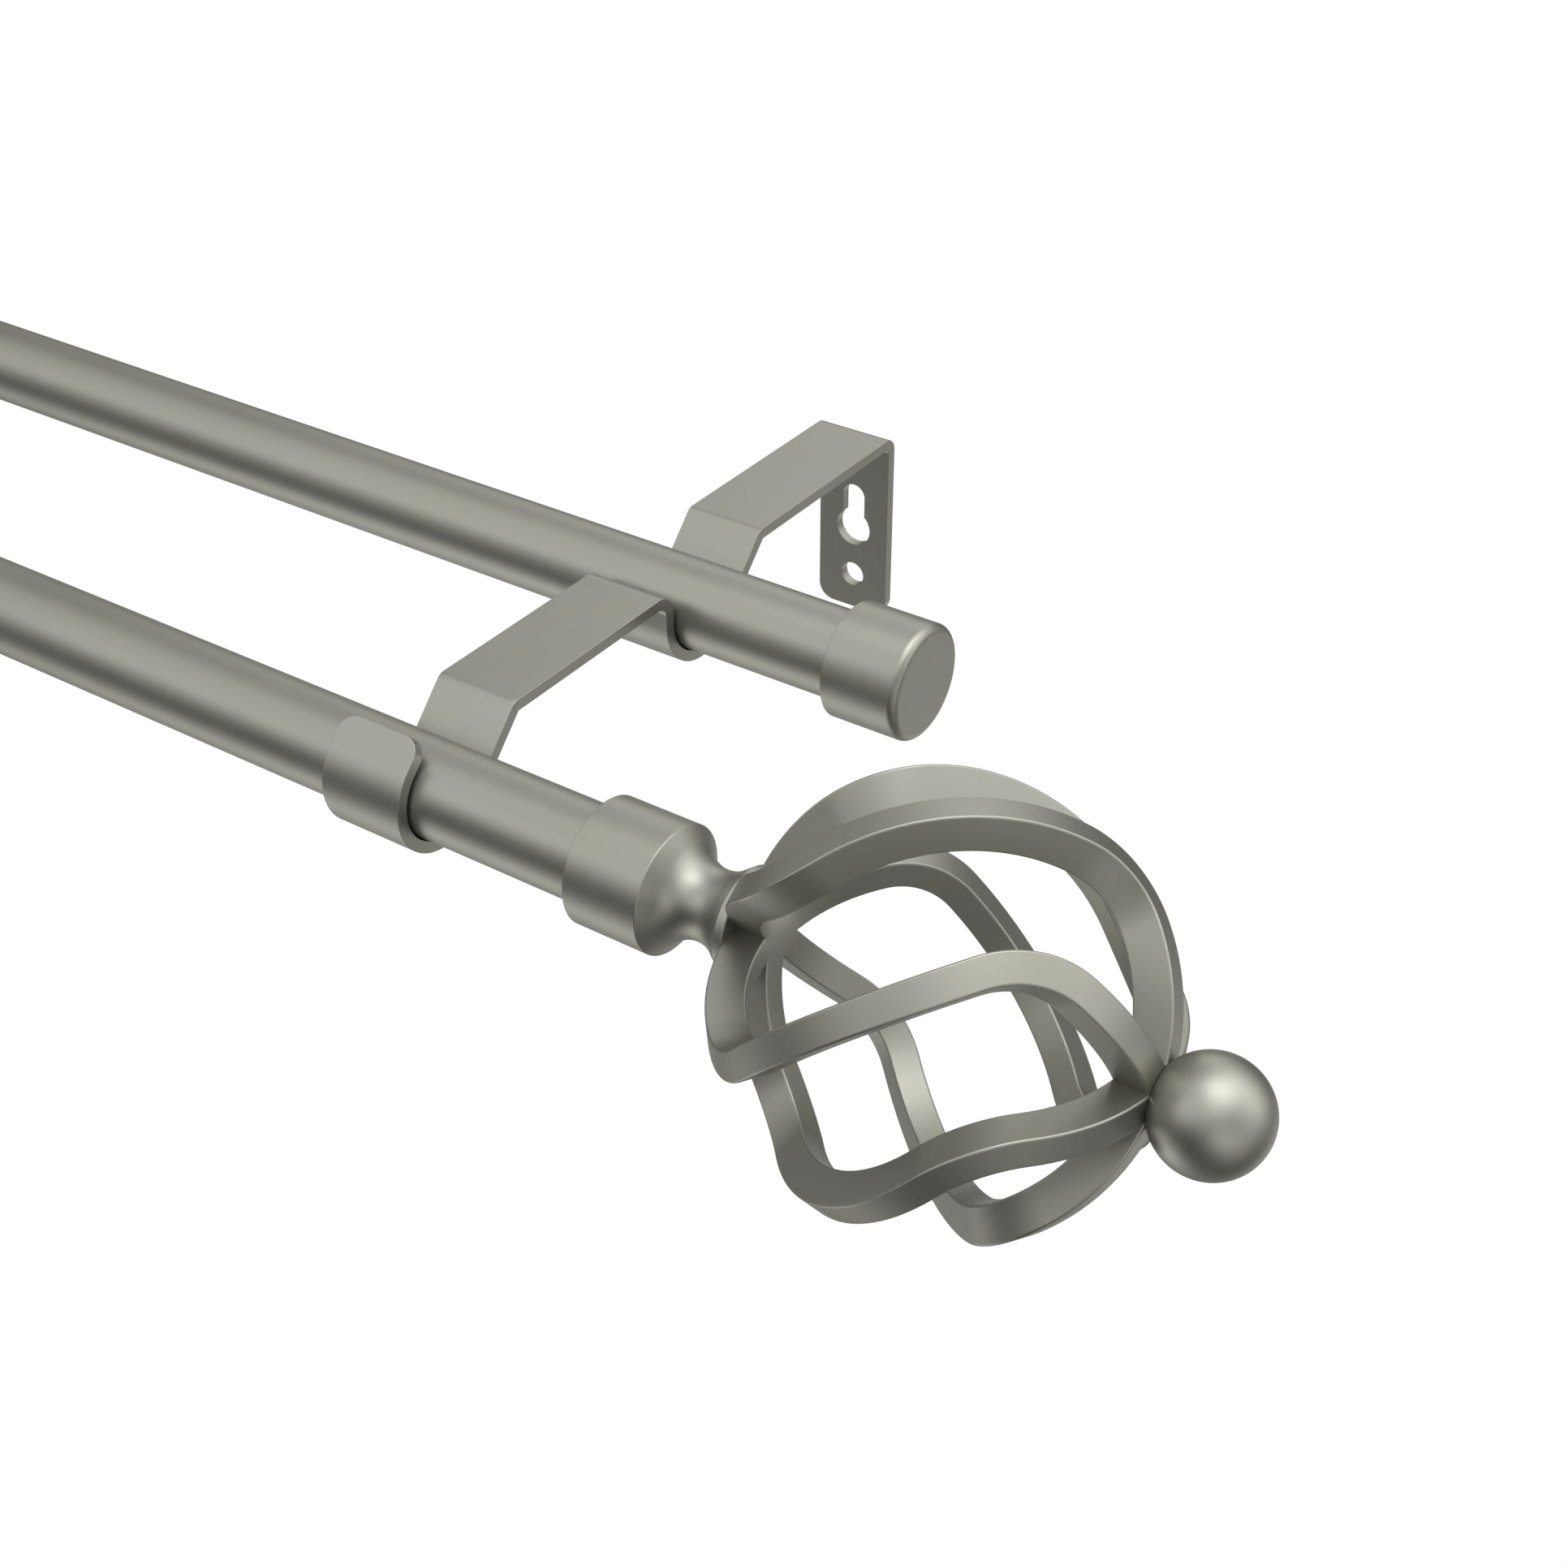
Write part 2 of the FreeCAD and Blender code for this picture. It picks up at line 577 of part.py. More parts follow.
def unit(vector):
    """Vector of length one in the same direction."""
    return vector * (1 / vector.Length)


def cage_bar(start_angle):
    """Square bar on a sphere about the origin, from the near pole to the far one.

    It leaves the pole along a meridian, bends into a great circle that crosses the
    meridians at the crossing angle, and bends back into the meridian of the far pole.
    """
    radius = value("Sizes.cage_radius")
    turn = math.radians(value("Sizes.bar_turn"))
    crossing = math.radians(value("Sizes.crossing_angle"))
    bend = value("Sizes.bar_bend_radius") / radius
    axis = FreeCAD.Vector(1, 0, 0)
    first = math.radians(start_angle)
    middle = first - turn / 2
    last = first - turn

    def spoke(angle):
        return FreeCAD.Vector(0, math.cos(angle), math.sin(angle))

    across = FreeCAD.Vector(0, -math.sin(middle), math.cos(middle))
    course = axis * math.cos(crossing) - across * math.sin(crossing)
    normals = [spoke(first).cross(axis), spoke(middle).cross(course), spoke(last).cross(axis)]

    def bend_between(before, after):
        """Axis of the small circle that touches two great circles, and its touching points."""
        meeting = unit(before.cross(after))
        side = 1 if meeting.dot(spoke(middle)) > 0 else -1
        meeting = meeting * side
        bisector = unit(before + after)
        lift = math.sin(bend) / before.dot(bisector)
        centre = bisector * (side * lift) + meeting * math.sqrt(1 - lift * lift)
        touch_before = unit(centre - before * centre.dot(before))
        touch_after = unit(centre - after * centre.dot(after))
        return centre, touch_before, touch_after

    near_bend, leave, cross_start = bend_between(normals[0], normals[1])
    far_bend, cross_end, arrive = bend_between(normals[1], normals[2])

    def sweep(start, end, normal):
        """Angle in degrees from one point to another about an axis through the origin."""
        flat_start = start - normal * start.dot(normal)
        flat_end = end - normal * end.dot(normal)
        return math.degrees(math.atan2(flat_start.cross(flat_end).dot(normal), flat_start.dot(flat_end)))

    route = [(normals[0], -axis, leave), (near_bend, leave, cross_start),
             (normals[1], cross_start, cross_end), (far_bend, cross_end, arrive),
             (normals[2], arrive, axis)]
    half_width = normals[0] * value("Sizes.bar_width / 2")
    inside = -axis * value("Sizes.cage_radius - Sizes.bar_depth / 2")
    outside = -axis * value("Sizes.cage_radius + Sizes.bar_depth / 2")
    corners = [inside - half_width, inside + half_width, outside + half_width, outside - half_width]
    section = Part.Face(Part.makePolygon(corners + corners[:1]))
    origin = FreeCAD.Vector()
    pieces = []
    for normal, start, end in route:
        angle = sweep(start, end, normal)
        pieces.append(section.revolve(origin, normal, angle))
        section = section.rotated(origin, normal, angle)
    return pieces


def cage_shape():
    """All bars welded at both poles, cut flat for the flange and hollowed for the ball."""
    origin = FreeCAD.Vector()
    axis = FreeCAD.Vector(1, 0, 0)
    count = int(value("Sizes.bar_count"))
    first_bar = cage_bar(value("Sizes.bar_start_angle"))
    bar = first_bar[0].multiFuse(first_bar[1:])
    bars = [bar.rotated(origin, axis, 360 * number / count) for number in range(count)]
    cage = bars[0].multiFuse(bars[1:]).removeSplitter()
    cage.translate(axis * value(CAGE_CENTRE))

    face = value(FLANGE_FACE)
    hole = value(STUD_HOLE)
    ball_radius = value("Sizes.ball_radius + Sizes.seat_clearance")
    spare = Part.makeCylinder(value("Sizes.cage_radius"), value("Sizes.bar_depth"), axis * face, -axis)
    neck_hole = Part.makeCylinder(hole, value(HUB_HOLE_END) - face, axis * face, axis)
    ball_seat = Part.makeSphere(ball_radius, axis * value(BALL_CENTRE))
    ball_hole_start = value(FAR_HUB_HOLE_END)
    ball_hole = Part.makeCylinder(hole, value(BALL_CENTRE) - ball_hole_start, axis * ball_hole_start, axis)
    return cage.cut([spare, neck_hole, ball_seat, ball_hole])


def make_cage(name, shape):
    cage = doc.addObject("Part::Feature", name)
    cage.Label = name
    cage.Shape = shape
    return cage


rods = [make_rod("front_rod", FRONT_ROD), make_rod("back_rod", BACK_ROD)]
pieces = rods + [make_bracket("bracket_right", "0"), make_bracket("bracket_left", "-" + BRACKET_SPACING)]
cage_form = cage_shape()
for side, end, half_turn in (("right", RIGHT_END, False), ("left", LEFT_END, True)):
    front_pieces = [
        make_collar("finial_collar_" + side),
        make_cage("finial_cage_" + side, cage_form),
        make_ball("finial_ball_" + side),
        make_stud("cage_stud_" + side, NECK_HOLE_END, HUB_HOLE_END),
        make_stud("ball_stud_" + side, FAR_HUB_HOLE_END, BALL_HOLE_END),
        make_grub("collar_screw_" + side, "Sizes.collar_insert", "Sizes.collar_radius"),
    ]
    back_pieces = [
        make_cap("back_cap_" + side),
        make_grub("cap_screw_" + side, "Sizes.cap_insert", "Sizes.cap_radius"),
    ]
    for piece in front_pieces:
        place(piece, end, FRONT_ROD, ROD_HEIGHT, half_turn)
    for piece in back_pieces:
        place(piece, end, BACK_ROD, ROD_HEIGHT, half_turn)
    pieces += front_pieces + back_pieces
doc.recompute()

for item in doc.Objects:
    if "Invalid" in item.State or "Error" in item.State:
        raise RuntimeError(item.Label + " failed to build")
for sketch in doc.findObjects("Sketcher::SketchObject"):
    if not sketch.FullyConstrained:
        raise RuntimeError(sketch.Label + " isn't fully constrained")
os.makedirs("parts", exist_ok=True)
for piece in pieces:
    shape = piece.Shape
    if shape.isNull() or not shape.isValid() or len(shape.Solids) != 1:
        raise RuntimeError(piece.Label + " isn't one valid solid")
    shape.exportStep("parts/" + piece.Label + ".step")
    box = shape.BoundBox
    print("%-22s %9.1f mm3  x %7.1f %7.1f  y %7.1f %7.1f  z %6.1f %6.1f"
          % (piece.Label, shape.Volume, box.XMin, box.XMax, box.YMin, box.YMax, box.ZMin, box.ZMax))
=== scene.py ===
import json
import math

import bmesh
import bpy
from mathutils import Matrix, Vector


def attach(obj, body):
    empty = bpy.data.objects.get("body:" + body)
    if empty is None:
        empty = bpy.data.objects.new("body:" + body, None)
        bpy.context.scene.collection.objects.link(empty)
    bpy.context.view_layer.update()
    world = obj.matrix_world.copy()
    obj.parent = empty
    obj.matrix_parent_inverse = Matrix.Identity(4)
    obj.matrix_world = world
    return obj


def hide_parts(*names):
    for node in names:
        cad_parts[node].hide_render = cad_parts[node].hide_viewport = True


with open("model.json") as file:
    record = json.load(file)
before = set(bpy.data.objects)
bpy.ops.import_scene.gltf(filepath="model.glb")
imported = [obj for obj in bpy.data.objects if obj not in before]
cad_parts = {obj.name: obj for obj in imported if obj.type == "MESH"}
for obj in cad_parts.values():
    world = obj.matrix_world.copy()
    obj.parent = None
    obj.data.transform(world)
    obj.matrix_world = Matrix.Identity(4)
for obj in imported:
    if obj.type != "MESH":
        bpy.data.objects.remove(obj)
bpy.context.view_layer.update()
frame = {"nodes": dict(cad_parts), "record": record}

# Camera, solved from the photograph's vanishing lines
CAMERA_PLACE = Vector((0.26536, -0.42373, 0.28246))
CAMERA_AZIMUTH = math.radians(34.12)
CAMERA_ELEVATION = math.radians(34.71)
FOCAL_PIXELS = 2886.67
IMAGE_PIXELS = 1932
SENSOR_WIDTH = 36.0
CLIP_NEAR = 0.01
CLIP_FAR = 50.0

# Floor sheet, well below the set, because the set hangs on a wall
FLOOR_HEIGHT = -1.6
# How far ahead of the camera its near and far edges lie, and how far they reach to each side
FLOOR_NEAR = (1.3, 1.0)
FLOOR_FAR = (7.2, 2.7)
FLOOR_COLOUR = (0.9, 0.9, 0.9, 1.0)
WHITE = (1.0, 1.0, 1.0, 1.0)

# Sizes of the solids, in millimetres and degrees
MM = 0.001
ROD_HEIGHT = 30.255
FRONT_ROD_Y = -160.4
BACK_ROD_Y = -77.05
ROD_RIGHT_END = 59.0
ROD_LEFT_END = -551.0
BRACKET_X = {"right": 0.0, "left": -492.0}

STRIP_WIDTH = 18.96
STRIP_THICKNESS = 2.5
CUP_HEIGHT = 30.5
CUP_RADIUS = 10.07
ARM_TOP = 38.62
SLOPE_ANGLE = 46.0
BEND_RADIUS = 3.6
FOLD_RADIUS = 2.8
CURL_RADIUS = 4.9
LIP_ANGLE = 45.0
LIP_LENGTH = 6.5
LIP_CORNER = 3.9
PLATE_END = 8.92
PLATE_CORNER = 4.1
SCREW_HOLE = 3.06
KEYHOLE_HEIGHT = 12.77
KEYHOLE_RADIUS = 4.6
KEYSLOT_HEIGHT = 21.2
KEYSLOT_HALF = 3.0

# Collar, neck and flange: places outward from the end of the rod, GRUB_X from the collar's rim
COLLAR_RADIUS = 12.5
COLLAR_INSERT = 11.1
BORE_RADIUS = 9.575
BORE_END = 0.3
SHOULDER = 4.9
FLANGE_BACK = 19.85
FLANGE_FACE = 21.65
FLANGE_RADIUS = 10.16
WAIST_X = 12.93
WAIST_RADIUS = 6.9
WAIST_CURVE = 7.65
GRUB_X = 6.0
GRUB_HOLE = 2.0
STUD_HOLE = 2.5
NECK_HOLE_END = 12.65

# Cage and its seat for the ball: places outward from the end of the rod
CAGE_CENTRE = 60.525
CAGE_RADIUS = 36.7
BAR_COUNT = 6
BAR_WIDTH = 5.5
BAR_DEPTH = 6.85
BAR_TURN = 71.8
BAR_CROSSING = 39.6
BAR_BEND = 17.35
BAR_START = 5.8
HUB_HOLE_END = 26.05
FAR_HUB_HOLE_END = 95.0
BALL_CENTRE = 108.98
BALL_SEAT = 10.48

# Small rounds of the edges, in millimetres, which the solids leave out
STRIP_EDGE = 0.1
BAR_EDGE = 0.4
COLLAR_RIM = 0.12
SHOULDER_ROUND = 0.35
FLANGE_ROUND = 0.25

# Fineness of the meshes: sides of turned forms, steps in arcs, and longest steps of curves in degrees
TURNED_SIDES = 144
HOLE_SIDES = 48
SPARE_SIDES = 64
SEAT_SIDES = 96
SEAT_STEPS = 60
ROUND_STEPS = 4
WAIST_STEPS = 28
CORNER_STEPS = 12
KEYHOLE_STEPS = 44
KEYSLOT_STEPS = 24
BEND_STEP = 6.0
BAR_STEP = 3.0

# Edges sharper than this stay sharp in the shading
CREASE = math.radians(31)
# Places that count as the same, in millimetres, and slivers that a boolean leaves, in metres
SAME_PLACE = 1e-6
SLIVER = 2e-6
# How far a cutter reaches past the face that it opens
OVERCUT = 1.0
# Loops of bars differ by a fraction of a micrometre, so that no two faces lie in one another
LOOP_SWELL = 1e-5

# Finishes: linear colour, roughness and the course of the marks left by making the part
NICKEL = (0.448, 0.450, 0.414)
STEEL = (0.36, 0.365, 0.365)
SATIN = 0.42
# Share of the light that the metal mirrors at a glancing angle
EDGE_TINT = (0.5, 0.5, 0.5, 1.0)
FINISHES = {
    "rod_nickel": (NICKEL, SATIN, "drawn"),
    "bracket_nickel": (NICKEL, SATIN, "rolled"),
    "turned_nickel": (NICKEL, SATIN, "turned"),
    "cage_nickel": (NICKEL, SATIN, "even"),
    "screw_steel": (STEEL, SATIN, "turned"),
}

# Noise in the finishes: scales per metre, and octaves of the soft and of the sharp noise
CLOUD_SCALE = 28.0
SMUDGE_SCALE = 110.0
MARK_SCALE = 2200.0
FINE_SCALE = 9000.0
SOFT_DETAIL = 2.0
SHARP_DETAIL = 3.0
# How much each noise changes the shade, the roughness and the surface's height
CLOUD_SHADE = 0.05
MARK_SHADE = 0.07
SMUDGE_ROUGH = 0.05
MARK_ROUGH = 0.05
FINE_SHARE = 0.5
BUMP_STRENGTH = 0.3
BUMP_DEPTH = 0.00001
# Noise scale of the plating's drift from cool to warm, and how far its colour goes
WARM_SCALE = 60.0
WARM_DRIFT = (0.02, 0.0, -0.03)
# Share of each axis that the marks keep: the less, the longer they are along it
GRAIN = {"drawn": (0.02, 1, 1), "rolled": (1, 0.03, 0.03), "even": (1, 1, 1)}

# Studio light, soft lamps far away: azimuth, elevation, sharpness and strength of each
LAMPS = {
    "overhead": (0, 90, 30, 3.2),
    "overhead_right": (0, 65, 30, 1.3),
    "high_front": (-60, 60, 15, 1.4),
    "high_back": (60, 60, 15, 1.3),
    "window_high": (-165, 55, 20, 0.7),
    "window": (-130, 30, 15, 1.2),
    "window_front": (-90, 30, 15, 0.5),
    "wall_glow": (120, 20, 30, 1.0),
    "back_high": (105, 45, 7, 0.6),
    "right": (30, 25, 7, 1.4),
    "right_low": (-25, -10, 7, 0.6),
    "left": (180, 10, 7, 0.5),
    "front": (-50, 5, 20, 0.8),
    "floor_left": (-150, -50, 15, 1.3),
    "floor_right": (75, -45, 15, 1.4),
    "floor": (150, -75, 7, 0.4),
}
LAMP_COLOUR = (0.995, 1.0, 0.95, 1.0)


def along(point, angle, distance):
    """Point at that distance and angle in degrees from another, in a plane."""
    return (point[0] + distance * math.cos(math.radians(angle)),
            point[1] + distance * math.sin(math.radians(angle)))


def arc(centre, radius, first, last, steps):
    """Points along an arc, between two angles in degrees."""
    return [along(centre, first + (last - first) * n / steps, radius) for n in range(steps + 1)]


def rounded(corners):
    """Closed outline; each corner is x, y and the radius that rounds it."""
    outline = []
    for before, corner, after in zip(corners[-1:] + corners[:-1], corners, corners[1:] + corners[:1]):
        here = Vector(corner[:2])
        radius = corner[2]
        if not radius:
            outline.append(here)
            continue
        back = (Vector(before[:2]) - here).normalized()
        ahead = (Vector(after[:2]) - here).normalized()
        half = back.angle(ahead) / 2
        centre = here + (back + ahead).normalized() * (radius / math.sin(half))
        start = here + back * (radius / math.tan(half)) - centre
        end = here + ahead * (radius / math.tan(half)) - centre
        turn = start.angle(end)
        for step in range(ROUND_STEPS + 1):
            part = step / ROUND_STEPS
            blend = start * math.sin((1 - part) * turn) + end * math.sin(part * turn)
            outline.append(centre + blend / math.sin(turn))
    return outline


def add_object(name, data):
    """Object of that mesh or camera, in the scene."""
    made = bpy.data.objects.new(name, data)
    bpy.context.scene.collection.objects.link(made)
    return made


def closed_object(name, work):
    """Object of a closed edit mesh, its faces turned outward; the edit mesh is freed."""
    bmesh.ops.recalc_face_normals(work, faces=work.faces[:])
    mesh = bpy.data.meshes.new(name)
    work.to_mesh(mesh)
    work.free()
    return add_object(name, mesh)


def new_object(name, points, faces):
    """Closed mesh object from points in millimetres."""
    work = bmesh.new()
    verts = [work.verts.new(Vector(point) * MM) for point in points]
    for face in faces:
        work.faces.new([verts[n] for n in face])
    return closed_object(name, work)


def lathe(name, outline, sides=TURNED_SIDES):
    """Closed outline of x and radius, turned about the X axis."""
    points, rings = [], []
    for x, radius in outline:
        count = 1 if radius < SAME_PLACE else sides
        rings.append([len(points) + n for n in range(count)])
        points += [(x, radius * math.cos(math.tau * n / sides), radius * math.sin(math.tau * n / sides))
                   for n in range(count)]
    faces = []
    for this, after in zip(rings, rings[1:] + rings[:1]):
        for n in range(sides):
            m = (n + 1) % sides
            places = ((this, n), (after, n), (after, m), (this, m))
            corners = list(dict.fromkeys(ring[place % len(ring)] for ring, place in places))
            if len(corners) > 2:
                faces.append(corners)
    return new_object(name, points, faces)


def carve(piece, operation, cutters):
    """Applies one boolean after another, and deletes the cutters."""
    for cutter in cutters:
        change = piece.modifiers.new("carve", "BOOLEAN")
        change.operation = operation
        change.solver = "EXACT"
        change.object = cutter
    seen = bpy.context.evaluated_depsgraph_get()
    carved = bpy.data.meshes.new_from_object(piece.evaluated_get(seen))
    piece.modifiers.clear()
    work = bmesh.new()
    work.from_mesh(carved)
    bmesh.ops.remove_doubles(work, verts=work.verts[:], dist=SLIVER)
    bmesh.ops.dissolve_degenerate(work, edges=work.edges[:], dist=SLIVER)
    work.to_mesh(carved)
    work.free()
    piece.data = carved
    for cutter in cutters:
        bpy.data.objects.remove(cutter)


def finish_piece(piece, node, slot, place):
    """Moves the mesh into place, sets its shading and lets it stand for its CAD node."""
    mesh = piece.data
    mesh.transform(place)
    mesh.validate()
    mesh.shade_smooth()
    mesh.set_sharp_from_angle(angle=CREASE)
    even = piece.modifiers.new("even shading", "WEIGHTED_NORMAL")
    even.keep_sharp = True
    mesh.materials.clear()
    mesh.materials.append(finishes[slot])
    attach(piece, "root")
    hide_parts(node)


def end_place(side, y):
    """Place of a part at that end of a rod; the left one is turned half round."""
    if side == "right":
        return Matrix.Translation(Vector((ROD_RIGHT_END, y, ROD_HEIGHT)) * MM)
    return Matrix.Translation(Vector((ROD_LEFT_END, y, ROD_HEIGHT)) * MM) @ Matrix.Rotation(math.pi, 4, "Z")


def touch_angle(point, centre, radius, side):
    """Angle in degrees on a circle where the tangent from an outer point touches it."""
    away = Vector(point) - Vector(centre)
    return math.degrees(math.atan2(away.y, away.x) + side * math.acos(radius / away.length))


def make_collar(side):
    """Collar, waisted neck and flange, turned in one and bored."""
    centre = (WAIST_X, WAIST_RADIUS + WAIST_CURVE)
    first = touch_angle((SHOULDER, COLLAR_RADIUS), centre, WAIST_CURVE, 1)
    last = touch_angle((FLANGE_BACK, FLANGE_RADIUS), centre, WAIST_CURVE, -1)
    last += 360 if last < first else 0
    waist = [point + (0,) for point in arc(centre, WAIST_CURVE, first, last, WAIST_STEPS)]
    outline = [(BORE_END, 0, 0), (BORE_END, BORE_RADIUS, 0), (-COLLAR_INSERT, BORE_RADIUS, COLLAR_RIM),
               (-COLLAR_INSERT, COLLAR_RADIUS, COLLAR_RIM), (SHOULDER, COLLAR_RADIUS, SHOULDER_ROUND)]
    outline += waist
    outline += [(FLANGE_BACK, FLANGE_RADIUS, FLANGE_ROUND), (FLANGE_FACE, FLANGE_RADIUS, FLANGE_ROUND),
                (FLANGE_FACE, STUD_HOLE, 0), (NECK_HOLE_END, STUD_HOLE, 0), (NECK_HOLE_END, 0, 0)]
    piece = lathe("collar_" + side, rounded(outline))
    reach = 2 * COLLAR_RADIUS
    drill = lathe("drill", [(0, 0), (0, GRUB_HOLE), (reach, GRUB_HOLE), (reach, 0)], HOLE_SIDES)
    drill.data.transform(Matrix.Translation(((GRUB_X - COLLAR_INSERT) * MM, 0, 0))
                         @ Matrix.Rotation(math.pi / 2, 4, "Y"))
    carve(piece, "DIFFERENCE", [drill])
    finish_piece(piece, "finial_collar_" + side, "turned_nickel", end_place(side, FRONT_ROD_Y))


def strip_route():
    """Straights and arcs of the strip's outer side: length or None, radius or 0, and turn to the left."""
    touch = along((0, CUP_HEIGHT), SLOPE_ANGLE - 90, CUP_RADIUS)
    slope = math.radians(SLOPE_ANGLE)
    slope_length = (ARM_TOP - FOLD_RADIUS * (1 - math.cos(slope)) - touch[1]) / math.sin(slope)
    fold_y = along(along(touch, SLOPE_ANGLE, slope_length), SLOPE_ANGLE - 90, FOLD_RADIUS)[0]

    def arm(start_y, cup_y, wrap):
        """Straight, fold, slope and cup of one arm."""
        return [(start_y - (cup_y + fold_y), 0, 0), (None, FOLD_RADIUS, SLOPE_ANGLE),
                (slope_length, 0, 0), (None, CUP_RADIUS, -wrap)]

    wall_y = BACK_ROD_Y - CUP_RADIUS
    return ([(ARM_TOP - BEND_RADIUS + PLATE_END, 0, 0), (None, BEND_RADIUS, 90)]
            + arm(-BEND_RADIUS, BACK_ROD_Y, 90 + SLOPE_ANGLE)
            + [(ARM_TOP - CURL_RADIUS - CUP_HEIGHT, 0, 0), (None, CURL_RADIUS, 90)]
            + arm(wall_y - CURL_RADIUS, FRONT_ROD_Y, 90 + SLOPE_ANGLE + LIP_ANGLE)
            + [(LIP_LENGTH, 0, 0)])


def bend_strip(route):
    """Stations along the strip, and the function that bends a flat point onto the route."""
    stretches, stations = [], []
    place, heading, length = Vector((0, -PLATE_END)), 90.0, 0.0
    for run, radius, turn in route:
        if radius:
            run = radius * abs(math.radians(turn))
            steps = math.ceil(abs(turn) / BEND_STEP)
            stations += [length + run * n / steps for n in range(steps + 1)]
        stretches.append((length, length + run, place, heading, radius, turn))
        if radius:
            side = math.copysign(90, turn)
            centre = along(place, heading + side, radius)
            heading += turn
            place = Vector(along(centre, heading - side, radius))
        else:
            place = Vector(along(place, heading, run))
        length += run

    def bend(point):
        x, s, depth = point
        start, end, here, angle, radius, turn = next(
            (stretch for stretch in stretches if s <= stretch[1] + SAME_PLACE), stretches[-1])
        if radius:
            part = angle + turn * (s - start) / (end - start)
            side = math.copysign(90, turn)
            centre = along(here, angle + side, radius)
            on_route = along(centre, part - side, radius)
        else:
            part = angle
            on_route = along(here, angle, s - start)
        y, z = along(on_route, part + 90, depth)
        return Vector((x, y, z))

    return stations, bend, length


def strip_loops(length):
    """Functions that give each closed edge of the flat strip, set in from the metal's edge."""
    half = STRIP_WIDTH / 2

    def border(inset):
        low, high = PLATE_CORNER - inset, LIP_CORNER - inset
        x_low, x_high = half - PLATE_CORNER, half - LIP_CORNER
        y_low, y_high = PLATE_CORNER, length - LIP_CORNER
        return (arc((x_low, y_low), low, -90, 0, CORNER_STEPS)
                + arc((x_high, y_high), high, 0, 90, CORNER_STEPS)
                + arc((-x_high, y_high), high, 90, 180, CORNER_STEPS)
                + arc((-x_low, y_low), low, 180, 270, CORNER_STEPS))

    def screw_hole(inset):
        return arc((0, PLATE_END), SCREW_HOLE + inset, 0, -360, HOLE_SIDES)[:-1]

    def keyhole(inset):
        head, slot = KEYHOLE_RADIUS + inset, KEYSLOT_HALF + inset
        corner = math.degrees(math.acos(slot / head))
        return (arc((0, PLATE_END + KEYHOLE_HEIGHT), head, corner, -180 - corner, KEYHOLE_STEPS)
                + arc((0, PLATE_END + KEYSLOT_HEIGHT), slot, 180, 0, KEYSLOT_STEPS))

    return border, screw_hole, keyhole


def make_bracket(side):
    """Strip with its holes and rounded edges, made flat and then bent onto its route."""
    stations, bend, length = bend_strip(strip_route())
    steps = [math.radians(90 * n / ROUND_STEPS) for n in range(ROUND_STEPS + 1)]
    near = [(STRIP_EDGE * (1 - math.sin(a)), STRIP_EDGE * (1 - math.cos(a))) for a in steps]
    levels = near + [(inset, STRIP_THICKNESS - depth) for inset, depth in reversed(near)]
    work = bmesh.new()
    rims = []
    for loop in strip_loops(length):
        rings = []
        for inset, depth in levels:
            rings.append([work.verts.new((x, s, depth)) for x, s in loop(inset)])
        for this, after in zip(rings, rings[1:]):
            for n in range(len(this)):
                m = (n + 1) % len(this)
                work.faces.new((this[n], this[m], after[m], after[n]))
        rims.append((rings[0], rings[-1]))
    for face_rims in zip(*rims):
        edges = []
        for ring in face_rims:
            edges += [work.edges.get(ends) for ends in zip(ring, ring[1:] + ring[:1])]
        bmesh.ops.triangle_fill(work, edges=edges, use_beauty=True)
    for station in stations:
        bmesh.ops.bisect_plane(work, geom=work.verts[:] + work.edges[:] + work.faces[:], dist=SAME_PLACE,
                               plane_co=(0, station, 0), plane_no=(0, 1, 0))
    for vert in work.verts:
        vert.co = bend(vert.co) * MM
    piece = closed_object("bracket_strip_" + side, work)
    place = Matrix.Translation((BRACKET_X[side] * MM, 0, 0))
    finish_piece(piece, "bracket_" + side, "bracket_nickel", place)


def bar_route(start_angle):
    """Arcs of one bar of the cage from the near pole to the far one: axis, start and end of each."""
    axis = Vector((1, 0, 0))
    turn, crossing = math.radians(BAR_TURN), math.radians(BAR_CROSSING)
    bend = BAR_BEND / CAGE_RADIUS
    first = math.radians(start_angle)
    middle, last = first - turn / 2, first - turn

    def spoke(angle):
        return Vector((0, math.cos(angle), math.sin(angle)))

    across = Vector((0, -math.sin(middle), math.cos(middle)))
    course = axis * math.cos(crossing) - across * math.sin(crossing)
    normals = [spoke(first).cross(axis), spoke(middle).cross(course), spoke(last).cross(axis)]

    def bend_between(before, after):
        """Axis of the small circle that touches two great circles, and its touching points."""
        meeting = before.cross(after).normalized()
        side = 1 if meeting.dot(spoke(middle)) > 0 else -1
        bisector = (before + after).normalized()
        lift = math.sin(bend) / before.dot(bisector)
        centre = bisector * (side * lift) + meeting * (side * math.sqrt(1 - lift * lift))
        return (centre, (centre - before * centre.dot(before)).normalized(),
                (centre - after * centre.dot(after)).normalized())

    near_bend, leave, cross_start = bend_between(normals[0], normals[1])
    far_bend, cross_end, arrive = bend_between(normals[1], normals[2])
    return [(normals[0], -axis, leave), (near_bend, leave, cross_start),
            (normals[1], cross_start, cross_end),
            (far_bend, cross_end, arrive), (normals[2], arrive, axis)]


